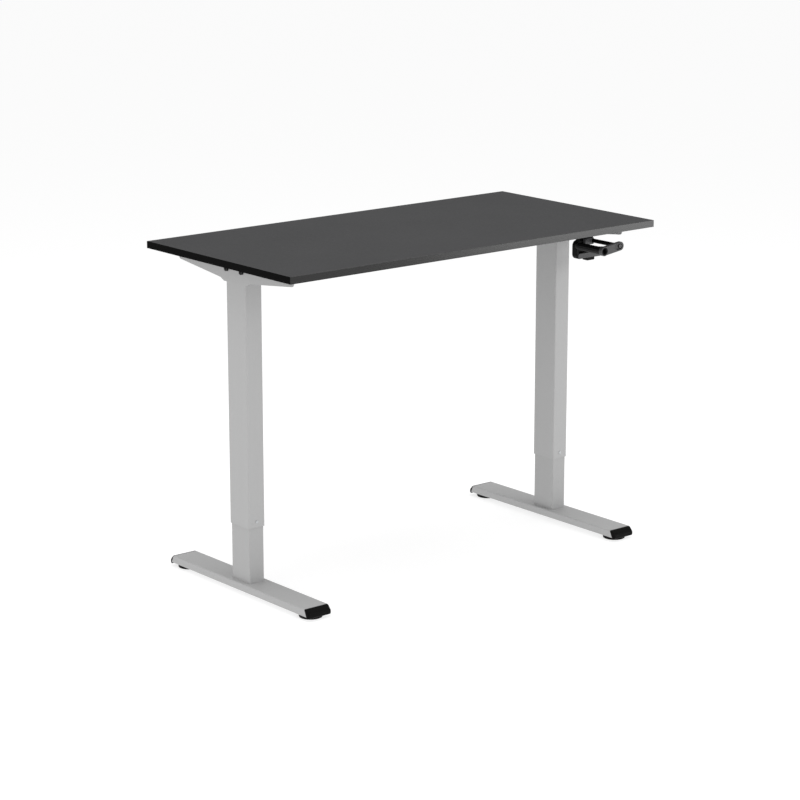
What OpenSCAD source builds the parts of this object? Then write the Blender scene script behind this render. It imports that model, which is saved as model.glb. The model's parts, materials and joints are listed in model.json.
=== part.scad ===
// Height adjustable standing desk, worked by a hand crank that is stowed under the tabletop.
// Frame: origin on the floor under the middle of the tabletop, X across the width,
// -Y towards the person working at it, +Z up. Lengths are in millimetres.

/* [Tabletop] */
// Width of the tabletop
top_w = 1200; // [1100:10:1400]
// Depth of the tabletop
top_d = 600; // [600:10:800]
// Thickness of the tabletop
top_t = 18; // [16:1:28]
// Height of the top surface above the floor
desk_h = 866; // [740:1:1170]
// Thickness of the edge bands
band_t = 1; // [0.6:0.1:2]

/* [Legs] */
// Distance from a leg's middle to the end of the tabletop
leg_inset = 82.5; // [75:0.5:110]
// Width of the outer column tube
col_w = 50; // [50:1:56]
// Depth of the outer column tube
col_d = 80; // [80:1:90]
// Wall of the column tubes
col_wall = 1.5; // [1.5:0.1:2]
// Gap all round between the two column tubes
col_gap = 1; // [1:0.1:1.4]

/* [Feet] */
// Width of a foot tube
foot_w = 73; // [70:1:90]
// Height of a foot tube
foot_t = 20; // [20:1:26]
// Length of a foot along its lower face, without the end caps
foot_len = 578; // [560:2:600]
// Diameter of a levelling pad
pad_d = 60; // [50:1:64]
// Height of the foot above the floor
pad_h = 10; // [10:1:16]

/* [Crank] */
// Centre distance between the crank's shaft and its grip
crank_r = 58; // [55:1:66]
// Angle that the stowed crank arm hangs below level
crank_tilt = 7.5; // [0:0.5:12]
// Diameter of the grip
grip_d = 20.5; // [20:0.1:22]
// Length of the grip
grip_len = 104; // [100:1:110]

/* [Hidden] */
$fn = 48;
eps = 0.01;

// Heights and places that follow from the driving dimensions
leg_x = top_w / 2 - leg_inset;
under_z = desk_h - top_t;
sheet_t = 2.5;
foot_top = pad_h + foot_t;
foot_r = 3;
foot_wall = 2;
foot_lean = 9;
plug_len = 12;
plug_gap = 0.4;
lip_drop = 3;
pad_y = 259;
stud_r = 4;
insert_r = 7;
bolt_dx = 12;
bolt_dy = 26;
bolt_r = 4;
base_t = 6;
col_r = 3.5;
in_w = col_w - 2 * col_wall - 2 * col_gap;
in_d = col_d - 2 * col_wall - 2 * col_gap;
cavity_w = col_w - 2 * col_wall;
cavity_d = col_d - 2 * col_wall;
col_len = 670;
col_top = under_z - sheet_t;
col_bottom = col_top - col_len;
in_top = 628;
guide_gap = 0.35;
guide_h = 45;
guide_screw_z = col_bottom + 15;
guide_screw_r = 2;
nut_r = 13;
nut_len = 30;

// Side brackets
web_half = 238;
web_tip_h = 24;
web_mid_h = 44;
web_lap_h = 51;
web_mid_y = 60;
web_lap_y = 46;
flange_w = 65;
bolt_y = 31;
bolt_drop = 18;
rail_y = 60;
rail_w = 30;
rail_h = 25;

// Gear train: all shafts of a leg meet in one point, the cones' apex
shaft_z = under_z - 47.5;
teeth = 16;
cone_in = 7;
cone_mid = 10.8;
cone_out = 12.5;
cone_end = 17;
hub_end = 21;
house_floor = 32;
house_top = 35.5;
house_gap = 0.4;
house_room = 39.2;
floor_t = 6;
neck_r = 5;
seat_r = 4;
hub_len = 28;
hex_af = 7;
run_gap = 0.05;
journal_r = 6;
spindle_r = 7;
spindle_low = 276;

// Crank
arm_front = -262;
arm_t = 10;
arm_w = 24;
rod_r = 5.5;
rod_back = -60;
bar_front = -200;
block_y = -158;
shell_y = -150;
shell_t = 18;
shell_w = 107;
shell_h = 50;
shell_drop = 44;
bush_r = 8;
bush_y = -151;
bore_r = 4.5;
arm_screw_r = 2.5;
arm_screw_len = 16;
core_r = 7.2;

// Screw positions relative to the leg's middle, with the shank's radius
top_screw_at = [for (y = [-210, -100, 100, 210]) [-17, y, 2.25]];
rail_screw_at = [for (y = [-rail_y, rail_y]) [-30, y, 3]];
crank_screw_at = [[-31, -120, 2.25], [-6, -120, 2.25], [-19, -130, 2.25]];
screw_depth = 12;
screw_gap = 0.2;

// Rounded rectangle with true arcs, centred
module rrect(w, d, r) {
    square([w - 2 * r, d], center = true);
    square([w, d - 2 * r], center = true);
    for (x = [-1, 1], y = [-1, 1])
        translate([x * (w / 2 - r), y * (d / 2 - r)]) circle(r = r);
}

// Upright rectangular tube from z0 to z1
module rtube(w, d, wall, r, z0, z1) {
    translate([0, 0, z0]) linear_extrude(z1 - z0) difference() {
        rrect(w, d, r);
        rrect(w - 2 * wall, d - 2 * wall, r - wall);
    }
}

// Puts children at the left (-1) or right (+1) leg, mirrored on the left
module at_leg(side) {
    mirror([side < 0 ? 1 : 0, 0, 0]) translate([leg_x, 0, 0]) children();
}

// Puts children at the foot's front (-1) or back (+1) end, facing outwards along +Y
module at_end(end) {
    mirror([0, end < 0 ? 1 : 0, 0]) children();
}

// Hexagonal bar along Z
module hex_bar(af, h) {
    linear_extrude(h) circle(d = af / cos(30), $fn = 6);
}

/* Feet */

// Outline of the foot in the YZ plane: the ends lean inwards towards the top
module foot_side() {
    half = foot_len / 2;
    polygon([
        [-half, pad_h], [half, pad_h], [half - foot_lean, foot_top], [-half + foot_lean, foot_top]
    ]);
}

module foot(side) {
    color("lightgray") at_leg(side) difference() {
        intersection() {
            rotate([90, 0, 0]) translate([0, pad_h + foot_t / 2, -foot_len / 2])
                linear_extrude(foot_len) difference() {
                    rrect(foot_w, foot_t, foot_r);
                    rrect(foot_w - 2 * foot_wall, foot_t - 2 * foot_wall, foot_r - foot_wall);
                }
            rotate([90, 0, 90]) translate([0, 0, -foot_w / 2]) linear_extrude(foot_w) foot_side();
        }
        // Holes for the pads' studs and for the column bolts with their access holes
        for (y = [-pad_y, pad_y]) translate([0, y, 0]) cylinder(r = insert_r, h = foot_top - foot_wall);
        for (x = [-bolt_dx, bolt_dx], y = [-bolt_dy, bolt_dy]) translate([x, y, 0]) {
            cylinder(r = bolt_r + screw_gap, h = foot_top + 1);
            cylinder(r = 8, h = pad_h + foot_wall + 1);
        }
    }
}

// Plastic end cap: a plug inside the tube and a rounded nose outside it
module foot_cap(side, end) {
    half = foot_len / 2;
    plug_w = foot_w - 2 * foot_wall - plug_gap;
    plug_t = foot_t - 2 * foot_wall - plug_gap;
    mitre_y = half - foot_lean;
    color("#1a1a1a") at_leg(side) at_end(end) {
        intersection() {
            rotate([90, 0, 90]) translate([0, 0, -foot_w / 2]) linear_extrude(foot_w)
                polygon([
                    [half, pad_h], [mitre_y, foot_top], [mitre_y + 2.6, foot_top],
                    [half + 4.7, pad_h + 10.5], [half + 7.5, pad_h + 7.5], [half + 7.9, pad_h + 3],
                    [half + 7, pad_h - lip_drop / 2], [half + 4.4, pad_h - lip_drop],
                    [half + 0.7, pad_h - lip_drop], [half + 0.7, pad_h]
                ]);
            // The nose follows the tube's rounded edges and is rounded in plan at its corners
            rotate([90, 0, 0]) translate([0, pad_h + (foot_t - lip_drop) / 2, -half - 10])
                linear_extrude(30) rrect(foot_w, foot_t + lip_drop, foot_r);
            translate([0, half - 32, 0]) linear_extrude(foot_top) rrect(foot_w, 80, 7);
        }
        // Plug ring, closed by a wall that joins it to the nose
        rotate([90, 0, 0]) translate([0, pad_h + foot_t / 2, -mitre_y - eps]) linear_extrude(plug_len)
            difference() {
                rrect(plug_w, plug_t, 1);
                rrect(plug_w - 5, plug_t - 5, 0.8);
            }
        rotate([90, 0, 90]) translate([0, 0, 2 - plug_w / 2]) linear_extrude(plug_w - 4)
            polygon([
                [mitre_y - 6, pad_h + 4], [half - 1, pad_h + 4], [mitre_y + 2.5, foot_top - 4],
                [mitre_y - 6, foot_top - 4]
            ]);
    }
}

// Levelling pad: a round foot with a threaded stud that turns in the insert
module pad(side, end) {
    color("#1a1a1a") at_leg(side) at_end(end) translate([0, pad_y, 0]) rotate_extrude($fn = 64)
        polygon([
            [0, 0], [pad_d / 2 - 1.2, 0], [pad_d / 2, 1.2], [pad_d / 2, 6.8], [pad_d / 2 - 1.2, 8.2],
            [12, pad_h - 0.6], [stud_r, pad_h - 0.6], [stud_r, foot_top - 5], [0, foot_top - 5]
        ]);
}

module pad_inserts() {
    color("silver") for (s = [-1, 1], e = [-1, 1]) at_leg(s) at_end(e) translate([0, pad_y, pad_h])
        difference() {
            cylinder(r = insert_r, h = foot_t - foot_wall - 1);
            translate([0, 0, -1]) cylinder(r = stud_r + run_gap, h = foot_t);
        }
}

// Bolts that pull each column's base plate down onto the foot, heads inside the foot
module foot_bolts() {
    head_h = 5.5;
    color("silver") for (s = [-1, 1], x = [-bolt_dx, bolt_dx], y = [-bolt_dy, bolt_dy])
        at_leg(s) translate([x, y, foot_top - foot_wall]) {
            cylinder(r = bolt_r, h = foot_wall + base_t);
            difference() {
                translate([0, 0, -head_h]) cylinder(r = 6.5, h = head_h);
                translate([0, 0, -head_h - eps]) hex_bar(6, 3);
            }
        }
}

module base_plate(side) {
    color("silver") at_leg(side) difference() {
        translate([0, 0, foot_top]) linear_extrude(base_t)
            rrect(in_w - 2 * col_wall, in_d - 2 * col_wall, 2);
        for (x = [-bolt_dx, bolt_dx], y = [-bolt_dy, bolt_dy])
            translate([x, y, foot_top - 1]) cylinder(r = bolt_r, h = base_t + 2);
    }
}

/* Columns */

module column_inner(side) {
    color("darkgray") at_leg(side) rtube(in_w, in_d, col_wall, col_r - 1, foot_top, in_top);
}

module column_outer(side) {
    color("lightgray") at_leg(side) difference() {
        rtube(col_w, col_d, col_wall, col_r, col_bottom, col_top);
        // Cross bar on the inner side, crank bar on the front of the right leg
        translate([-col_w / 2 - 1, 0, shaft_z]) rotate([0, 90, 0]) cylinder(r = 9, h = 5);
        if (side > 0) translate([0, -col_d / 2 - 1, shaft_z]) rotate([-90, 0, 0]) cylinder(r = 9, h = 5);
        for (y = [-bolt_y, bolt_y]) translate([col_w / 2 - 5, y, under_z - bolt_drop])
            rotate([0, 90, 0]) cylinder(r = bolt_r, h = 10);
        for (y = [-1, 1]) translate([0, y * col_d / 2, guide_screw_z])
            rotate([90, 0, 0]) cylinder(r = guide_screw_r, h = 8, center = true);
    }
}

// Plastic liner in the mouth of the outer tube
module lower_guide(side) {
    color("white") at_leg(side) difference() {
        translate([0, 0, col_bottom + 1])
            rtube(cavity_w, cavity_d, col_gap - guide_gap, col_r - col_wall, 0, guide_h);
        for (y = [-1, 1]) translate([0, y * cavity_d / 2, guide_screw_z])
            rotate([90, 0, 0]) cylinder(r = guide_screw_r, h = 8, center = true);
    }
}

// Low-headed screws that hold the liners, on the front and the back of each outer tube
module guide_screws() {
    head_h = 1.4;
    color("silver") for (s = [-1, 1], e = [-1, 1]) at_leg(s) at_end(e)
        translate([0, col_d / 2, guide_screw_z]) rotate([90, 0, 0]) {
            difference() {
                translate([0, 0, -head_h]) cylinder(r = 3.8, h = head_h);
                translate([0, 0, -head_h - eps]) hex_bar(2.5, 0.8);
            }
            cylinder(r = guide_screw_r, h = col_wall + col_gap - guide_gap);
        }
}

// Plastic block in the top of the inner tube: guides the outer tube and carries the nut
module nut_carrier(side) {
    skirt = col_gap - guide_gap;
    color("white") at_leg(side) {
        rtube(in_w + 2 * skirt, in_d + 2 * skirt, skirt, col_r - 1 + skirt, in_top - guide_h, in_top);
        difference() {
            union() {
                translate([0, 0, in_top]) linear_extrude(2) rrect(in_w + 2 * skirt, in_d + 2 * skirt, 3);
                translate([0, 0, in_top - nut_len]) linear_extrude(nut_len)
                    rrect(in_w - 2 * col_wall, in_d - 2 * col_wall, 1);
            }
            translate([0, 0, in_top - nut_len - 1]) cylinder(r = nut_r, h = nut_len + 5);
        }
    }
}

module spindle_nuts() {
    color("goldenrod") for (s = [-1, 1]) at_leg(s) difference() {
        translate([0, 0, in_top - nut_len]) cylinder(r = nut_r, h = nut_len + 1);
        translate([0, 0, in_top - nut_len - 1]) cylinder(r = spindle_r + run_gap, h = nut_len + 5);
    }
}

/* Tabletop */

module tabletop_board() {
    color("#505050") difference() {
        translate([0, 0, under_z + top_t / 2])
            cube([top_w - 2 * band_t, top_d - 2 * band_t, top_t], center = true);
        for (s = [-1, 1]) at_leg(s) {
            for (p = concat(top_screw_at, rail_screw_at)) translate([p.x, p.y, under_z - 1])
                cylinder(r = p.z, h = screw_depth + 1);
        }
        for (p = crank_screw_at) translate([leg_x + p.x, p.y, under_z - 1])
            cylinder(r = p.z, h = screw_depth + 1);
    }
}

module edge_band_long(side) {
    color("#404040") translate([0, side * (top_d - band_t) / 2, under_z + top_t / 2])
        cube([top_w, band_t, top_t], center = true);
}

module edge_band_short(side) {
    color("#303030") translate([side * (top_w - band_t) / 2, 0, under_z + top_t / 2])
        cube([band_t, top_d - 2 * band_t, top_t], center = true);
}

// Folded steel bracket: a flange under the tabletop and one web down the column's outer side
module side_bracket(side) {
    color("lightgray") at_leg(side) difference() {
        union() {
            translate([col_w / 2 + sheet_t - flange_w, -web_half, under_z - sheet_t])
                cube([flange_w, 2 * web_half, sheet_t]);
            translate([col_w / 2, 0, under_z]) rotate([90, 0, 90]) linear_extrude(sheet_t) web_side();
        }
        for (p = concat(top_screw_at, rail_screw_at, side > 0 ? crank_screw_at : []))
            translate([p.x, p.y, col_top - 1]) cylinder(r = p.z + screw_gap, h = sheet_t + 2);
        for (y = [-bolt_y, bolt_y]) translate([col_w / 2 - 1, y, under_z - bolt_drop])
            rotate([0, 90, 0]) cylinder(r = bolt_r, h = sheet_t + 2);
    }
}

// Side view of the web: it tapers to rounded tips and laps lower over the column
module web_side() {
    tip_r = 8;
    for (m = [0, 1]) mirror([m, 0]) {
        polygon([
            [0, 0], [web_half, 0], [web_half, -web_tip_h + tip_r], [web_half - tip_r, -web_tip_h],
            [web_mid_y, -web_mid_h], [web_lap_y, -web_lap_h], [0, -web_lap_h]
        ]);
        translate([web_half - tip_r, -web_tip_h + tip_r]) circle(r = tip_r);
    }
}

module cross_rail(end) {
    half = leg_x + col_w / 2 - 0.5;
    color("lightgray") at_end(end) difference() {
        translate([-half, rail_y, col_top - rail_h / 2]) rotate([90, 0, 90]) linear_extrude(2 * half)
            difference() {
                rrect(rail_w, rail_h, 2.5);
                rrect(rail_w - 3, rail_h - 3, 1);
            }
        for (s = [-1, 1]) at_leg(s) translate([-30, rail_y, col_top - rail_h - 1])
            cylinder(r = 3 + screw_gap, h = rail_h + 2);
    }
}

// Pan-headed screw along +Z with its head below z = 0
module pan_screw(r, head_r, head_h, h) {
    cylinder(r = r, h = h);
    difference() {
        translate([0, 0, -head_h]) cylinder(r = head_r, h = head_h);
        translate([0, 0, -head_h - eps]) hex_bar(r * 1.6, head_h * 0.6);
    }
}

module tabletop_screws() {
    color("silver") for (s = [-1, 1], p = top_screw_at) at_leg(s)
        translate([p.x, p.y, col_top]) pan_screw(p.z, 4.75, 2.6, sheet_t + screw_depth);
}

module rail_screws() {
    color("silver") for (s = [-1, 1], p = rail_screw_at) at_leg(s)
        translate([p.x, p.y, col_top - rail_h]) pan_screw(p.z, 5.5, 3.2, rail_h + sheet_t + screw_depth);
}

// Bolts through the web and the tube wall into the gear housing, heads on the outside
module bracket_bolts() {
    head_h = 6;
    color("#1a1a1a") for (s = [-1, 1], y = [-bolt_y, bolt_y]) at_leg(s)
        translate([col_w / 2 + sheet_t, y, under_z - bolt_drop]) rotate([0, 90, 0]) {
            translate([0, 0, -16]) cylinder(r = bolt_r, h = 16);
            difference() {
                cylinder(r = 6.5, h = head_h);
                translate([0, 0, head_h - 3]) hex_bar(5, 4);
            }
        }
}

/* Gear train */

// Section of a mitre gear at the axial distance t from the apex
module gear_section(t, phase) {
    step = 360 / teeth;
    low = t * 0.92;
    tip = t * 1.06;
    polygon([for (i = [0:teeth - 1], c = [[-5, low], [-2.6, tip], [2.6, tip], [5, low]])
        let (a = i * step + phase + c[0]) [c[1] * cos(a), c[1] * sin(a)]]);
}

// Mitre gear on the +Z axis with its apex at the origin, toothed from t0 to t1, hub to t2
module mitre_gear(t0, t1, t2, hub_r, phase) {
    translate([0, 0, t0]) linear_extrude(t1 - t0, scale = t1 / t0) gear_section(t0, phase);
    translate([0, 0, t1 - eps]) cylinder(r = hub_r, h = t2 - t1 + eps);
}

module spindle(side) {
    neck_end = house_floor + 2;
    color("silver") at_leg(side) translate([0, 0, shaft_z]) rotate([180, 0, 0]) {
        translate([0, 0, cone_in + 2]) cylinder(r = seat_r, h = hub_end - cone_in - 2);
        translate([0, 0, hub_end]) cylinder(r = neck_r, h = neck_end - hub_end);
        translate([0, 0, neck_end]) cylinder(r = spindle_r, h = shaft_z - neck_end - spindle_low);
    }
}

module spindle_gear(side) {
    color("dimgray") at_leg(side) translate([0, 0, shaft_z]) rotate([180, 0, 0]) difference() {
        mitre_gear(cone_in, cone_end, hub_end, 8, 0);
        cylinder(r = seat_r, h = hub_end + 1);
    }
}

// Gear housing that fills the head of the outer tube
module gear_housing(side) {
    w = cavity_w - house_gap;
    d = cavity_d - house_gap;
    color("dimgray") at_leg(side) translate([0, 0, shaft_z]) difference() {
        translate([0, 0, -house_floor]) linear_extrude(house_floor + house_top) rrect(w, d, 2);
        translate([0, 0, -house_floor + floor_t]) linear_extrude(house_floor + house_top)
            rrect(house_room, house_room, 3);
        translate([0, 0, -house_floor - 1]) cylinder(r = neck_r + run_gap, h = floor_t + 2);
        translate([-w / 2 - 1, 0, 0]) rotate([0, 90, 0]) cylinder(r = journal_r + run_gap, h = 10);
        if (side > 0) translate([0, -d / 2 - 1, 0]) rotate([-90, 0, 0])
            cylinder(r = journal_r + run_gap, h = 22);
        for (y = [-bolt_y, bolt_y]) translate([9, y, under_z - bolt_drop - shaft_z])
            rotate([0, 90, 0]) cylinder(r = bolt_r, h = 20);
    }
}

module housing_lid(side) {
    color("dimgray") at_leg(side) translate([0, 0, shaft_z + house_top]) {
        linear_extrude(4) rrect(cavity_w - house_gap, cavity_d - house_gap, 2);
        translate([0, 0, -5]) linear_extrude(5) rrect(house_room - screw_gap, house_room - screw_gap, 3);
    }
}

module thrust_bearings() {
    race_h = house_floor - floor_t - hub_end - guide_gap;
    color("silver") for (s = [-1, 1]) at_leg(s) translate([0, 0, shaft_z - house_floor + floor_t])
        difference() {
            cylinder(r = 12, h = race_h);
            translate([0, 0, -1]) cylinder(r = neck_r + guide_gap, h = race_h + 2);
        }
}

// Hexagonal bar between the legs
module cross_bar() {
    half = leg_x - cone_mid - 2;
    color("silver") translate([-half, 0, shaft_z]) rotate([0, 90, 0]) hex_bar(hex_af, 2 * half);
}

module cross_gear(side) {
    color("dimgray") at_leg(side) translate([0, 0, shaft_z]) rotate([0, -90, 0]) difference() {
        mitre_gear(cone_in, cone_mid, hub_len, journal_r, 180 / teeth);
        translate([0, 0, cone_mid + 2]) hex_bar(hex_af, hub_len);
    }
}

// Hexagonal bar from the right gear housing into the hollow crank rod
module drive_bar() {
    color("silver") translate([leg_x, -cone_end, shaft_z]) rotate([90, 0, 0])
        hex_bar(hex_af, -bar_front - cone_end);
}

module drive_gear() {
    color("dimgray") translate([leg_x, 0, shaft_z]) rotate([90, 0, 0]) difference() {
        mitre_gear(cone_out, cone_end, col_d / 2 + 3, journal_r, 180 / teeth);
        translate([0, 0, cone_end]) hex_bar(hex_af, col_d);
    }
}

/* Crank */

// Outline of the cradle seen from the front: high at its left end, low under the grip
module cradle_side() {
    step_x = -27;
    step_drop = 28;
    difference() {
        rrect(shell_w, shell_h, 14);
        translate([step_x, shell_h / 2 - step_drop]) square([shell_w, step_drop + 1]);
    }
}

// Moulded holder: bearing block for the rod, hanger legs, a dished cradle and a nose under it
module crank_holder_solid() {
    plate_t = 4;
    block_w = 30;
    block_drop = 56;
    front_t = 12;
    rim = 7.5;
    // Mounting plate under the bracket's flange
    translate([-45, block_y, -sheet_t - plate_t]) cube([46, 50, plate_t]);
    // Bearing block with the barrel behind it
    translate([1 - block_w, block_y, -block_drop]) cube([block_w, 20, block_drop - sheet_t - eps]);
    translate([0, bush_y + 1, shaft_z - under_z]) rotate([-90, 0, 0]) cylinder(r = 10, h = 19);
    translate([-10, bush_y + 1, shaft_z - under_z]) cube([20, 19, under_z - shaft_z - sheet_t - eps]);
    for (x = [-37, -44]) translate([x, shell_y, -shell_drop - plate_t])
        cube([3, 14, shell_drop + plate_t - sheet_t - eps]);
    // Cradle: a closed back and a front rim
    translate([0, shell_y + shell_t, -shell_drop - shell_h / 2]) rotate([90, 0, 0]) {
        linear_extrude(shell_t - front_t) cradle_side();
        linear_extrude(shell_t) difference() {
            cradle_side();
            translate([-shell_w / 2 + rim, -shell_h / 2 + 16]) square([shell_w - 2 * rim, shell_h - 22]);
        }
    }
    translate([0, shell_y + 10, -shell_drop - shell_h - 1]) cube([28, 18, 13], center = true);
}

module crank_housing() {
    color("#1a1a1a") translate([leg_x, 0, under_z]) difference() {
        crank_holder_solid();
        // The bush's bore, and clearance for the rod through the block
        translate([0, bush_y - 1, shaft_z - under_z]) rotate([-90, 0, 0])
            cylinder(r = bush_r + run_gap, h = 60);
        translate([0, block_y - 1, shaft_z - under_z]) rotate([-90, 0, 0])
            cylinder(r = rod_r + 0.7, h = 60);
        for (p = crank_screw_at) translate([p.x, p.y, -sheet_t - 6])
            cylinder(r = p.z + screw_gap, h = 8);
    }
}

module crank_screws() {
    color("silver") for (p = crank_screw_at) translate([leg_x + p.x, p.y, col_top - 4])
        pan_screw(p.z, 4.5, 2.4, sheet_t + 4 + screw_depth);
}

// Bush that turns in the holder; the rod slides through it
module crank_bush() {
    color("#303030") translate([leg_x, bush_y, shaft_z]) rotate([-90, 0, 0]) difference() {
        cylinder(r = bush_r, h = 20);
        translate([0, 0, -1]) cylinder(r = rod_r + run_gap, h = 22);
    }
}

module crank_rod() {
    color("#1a1a1a") translate([leg_x, rod_back, shaft_z]) rotate([90, 0, 0]) difference() {
        union() {
            cylinder(r = rod_r, h = rod_back - arm_front - 4);
            translate([0, 0, rod_back - arm_front - arm_t - 7]) cylinder(r = 8, h = 7);
        }
        // Round bore that slides over the hexagonal bar, and a threaded hole for the arm's screw
        translate([0, 0, -1]) cylinder(r = bore_r, h = rod_back - bar_front + 15);
        translate([0, 0, rod_back - arm_front - arm_screw_len]) cylinder(r = arm_screw_r, h = arm_screw_len);
    }
}

// Puts children at the shaft with +X pointing along the arm to the grip and +Z out to the front
module on_arm() {
    translate([leg_x, arm_front, shaft_z]) rotate([90, 0, 0]) rotate(180 + crank_tilt) children();
}

module crank_arm() {
    color("#1a1a1a") on_arm() difference() {
        translate([0, 0, -arm_t]) linear_extrude(arm_t) {
            translate([0, -arm_w / 2]) square([crank_r, arm_w]);
            circle(r = arm_w / 2);
            translate([crank_r, 0]) circle(r = arm_w / 2 + 0.3);
        }
        translate([crank_r, 0, -arm_t - 1]) cylinder(r = grip_d / 2 + 0.1, h = arm_t + 2);
        // Dished recess around the screw
        translate([6, 0, -2.5]) linear_extrude(5) rrect(24, 15, 7.4);
        translate([0, 0, -arm_t - 1]) cylinder(r = rod_r, h = arm_t - 3);
        cylinder(r = arm_screw_r, h = 2 * arm_t, center = true);
    }
}

module crank_arm_screw() {
    color("silver") on_arm() {
        translate([0, 0, -arm_screw_len]) cylinder(r = arm_screw_r, h = arm_screw_len - 2);
        difference() {
            translate([0, 0, -2.5]) cylinder(r = 4.5, h = 2);
            translate([0, 0, -1.6]) hex_bar(3, 2);
        }
    }
}

// Hollow pin of the grip, which pushes through the arm
module grip_core() {
    color("#303030") on_arm() translate([crank_r, 0, -grip_len]) difference() {
        union() {
            cylinder(r = core_r, h = grip_len - 4);
            cylinder(r = 9.5, h = 4);
        }
        translate([0, 0, 8]) cylinder(r = 4.5, h = grip_len);
    }
}

module grip_sleeve() {
    color("#1a1a1a") on_arm() translate([crank_r, 0, -grip_len + 4.3]) difference() {
        cylinder(r = grip_d / 2, h = grip_len - 4.3);
        translate([0, 0, -1]) cylinder(r = core_r + run_gap, h = grip_len + 2);
    }
}

foot(-1);  // foot_left
foot(1);  // foot_right
foot_cap(-1, -1);  // foot_cap_front_left
foot_cap(-1, 1);  // foot_cap_back_left
foot_cap(1, -1);  // foot_cap_front_right
foot_cap(1, 1);  // foot_cap_back_right
pad(-1, -1);  // pad_front_left
pad(-1, 1);  // pad_back_left
pad(1, -1);  // pad_front_right
pad(1, 1);  // pad_back_right
pad_inserts();
foot_bolts();
base_plate(-1);  // base_plate_left
base_plate(1);  // base_plate_right
column_inner(-1);  // column_inner_left
column_inner(1);  // column_inner_right
nut_carrier(-1);  // nut_carrier_left
nut_carrier(1);  // nut_carrier_right
spindle_nuts();
tabletop_board();
edge_band_long(-1);  // edge_band_front
edge_band_long(1);  // edge_band_back
edge_band_short(-1);  // edge_band_left
edge_band_short(1);  // edge_band_right
side_bracket(-1);  // side_bracket_left
side_bracket(1);  // side_bracket_right
column_outer(-1);  // column_outer_left
column_outer(1);  // column_outer_right
lower_guide(-1);  // lower_guide_left
lower_guide(1);  // lower_guide_right
guide_screws();
gear_housing(-1);  // gear_housing_left
gear_housing(1);  // gear_housing_right
housing_lid(-1);  // housing_lid_left
housing_lid(1);  // housing_lid_right
thrust_bearings();
cross_rail(-1);  // cross_rail_front
cross_rail(1);  // cross_rail_back
bracket_bolts();
tabletop_screws();
rail_screws();
spindle(-1);  // spindle_left
spindle(1);  // spindle_right
spindle_gear(-1);  // spindle_gear_left
spindle_gear(1);  // spindle_gear_right
cross_bar();
cross_gear(-1);  // cross_gear_left
cross_gear(1);  // cross_gear_right
drive_bar();
drive_gear();
crank_housing();
crank_screws();
crank_bush();
crank_rod();
crank_arm();
crank_arm_screw();
grip_core();
grip_sleeve();
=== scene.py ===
# %% [markdown]
# # A crank-operated standing desk
# The desk is a charcoal board on two telescopic steel legs. Its parts come in as a packed
# model, the frame, which already holds every size and every joint. Blender's job is the
# look: what each surface is made of, and the finer shape of the small moulded pieces.
# The frame is loaded first, because every later place is read from it.

# %% Load the frame
import json
import math

import bmesh
import bpy
from mathutils import Matrix, Vector


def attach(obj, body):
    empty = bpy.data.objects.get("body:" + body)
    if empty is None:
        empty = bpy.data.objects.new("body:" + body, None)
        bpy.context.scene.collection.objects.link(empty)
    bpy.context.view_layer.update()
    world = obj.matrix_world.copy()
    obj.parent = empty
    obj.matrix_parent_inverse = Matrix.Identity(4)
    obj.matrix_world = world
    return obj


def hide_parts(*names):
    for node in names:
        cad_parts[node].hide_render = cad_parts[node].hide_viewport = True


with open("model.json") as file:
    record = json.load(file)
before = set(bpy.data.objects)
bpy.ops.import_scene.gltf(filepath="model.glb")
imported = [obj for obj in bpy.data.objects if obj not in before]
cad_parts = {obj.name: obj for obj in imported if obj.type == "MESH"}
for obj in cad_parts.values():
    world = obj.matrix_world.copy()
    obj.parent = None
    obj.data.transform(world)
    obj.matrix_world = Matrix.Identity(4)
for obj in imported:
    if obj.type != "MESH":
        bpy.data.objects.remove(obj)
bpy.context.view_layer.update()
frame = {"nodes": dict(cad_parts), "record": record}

nodes = frame["nodes"]
body_of_node = {n: body for body, names in frame["record"]["behaviour"]["bodies"].items() for n in names}
mm = 0.001

# %% [markdown]
# ## Camera
# A desk is best shown from standing height, a few metres away and with a long
# lens, so that its legs stay almost upright. The lens is given in millimetres for a 36 mm
# wide sensor. The shift stays at zero, so the camera can be moved round the desk later.

# %% Camera
camera_data = bpy.data.cameras.new("camera")
camera_data.sensor_width = 36
camera_data.lens = 115.4
camera_data.clip_end = 100
camera = bpy.data.objects.new("camera", camera_data)
camera.location = (-4.156, -5.023, 2.056)
camera.rotation_euler = (math.radians(90 - 14.13), 0, math.radians(-39.47))
bpy.context.scene.collection.objects.link(camera)
bpy.context.scene.camera = camera
print("camera is", round(camera.location.length, 2), "m from the desk's origin")

# %% [markdown]
# ## Colour and nodes
# Paint and plastic colours are usually quoted as sRGB hex values, while a renderer adds up
# light in linear units. One function turns the first into the second. A second one adds a
# shader node with its settings and its links in a single call, which keeps each material
# short enough to read as a recipe.

# %% Colour and node helpers
def linear(hex_colour):
    """An sRGB hex colour, such as "#505050", as linear red, green, blue and alpha."""
    parts = [int(hex_colour[i:i + 2], 16) / 255 for i in (1, 3, 5)]
    return tuple(c / 12.92 if c <= 0.04045 else ((c + 0.055) / 1.055) ** 2.4 for c in parts) + (1,)


def add_node(tree, kind, inputs=None, **settings):
    """Adds a node. inputs maps a socket to a value, or to another node's output to link it."""
    made = tree.nodes.new(kind)
    for name, value in settings.items():
        setattr(made, name, value)
    for socket, value in (inputs or {}).items():
        if isinstance(value, bpy.types.NodeSocket):
            tree.links.new(value, made.inputs[socket])
        else:
            made.inputs[socket].default_value = value
    return made


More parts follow.
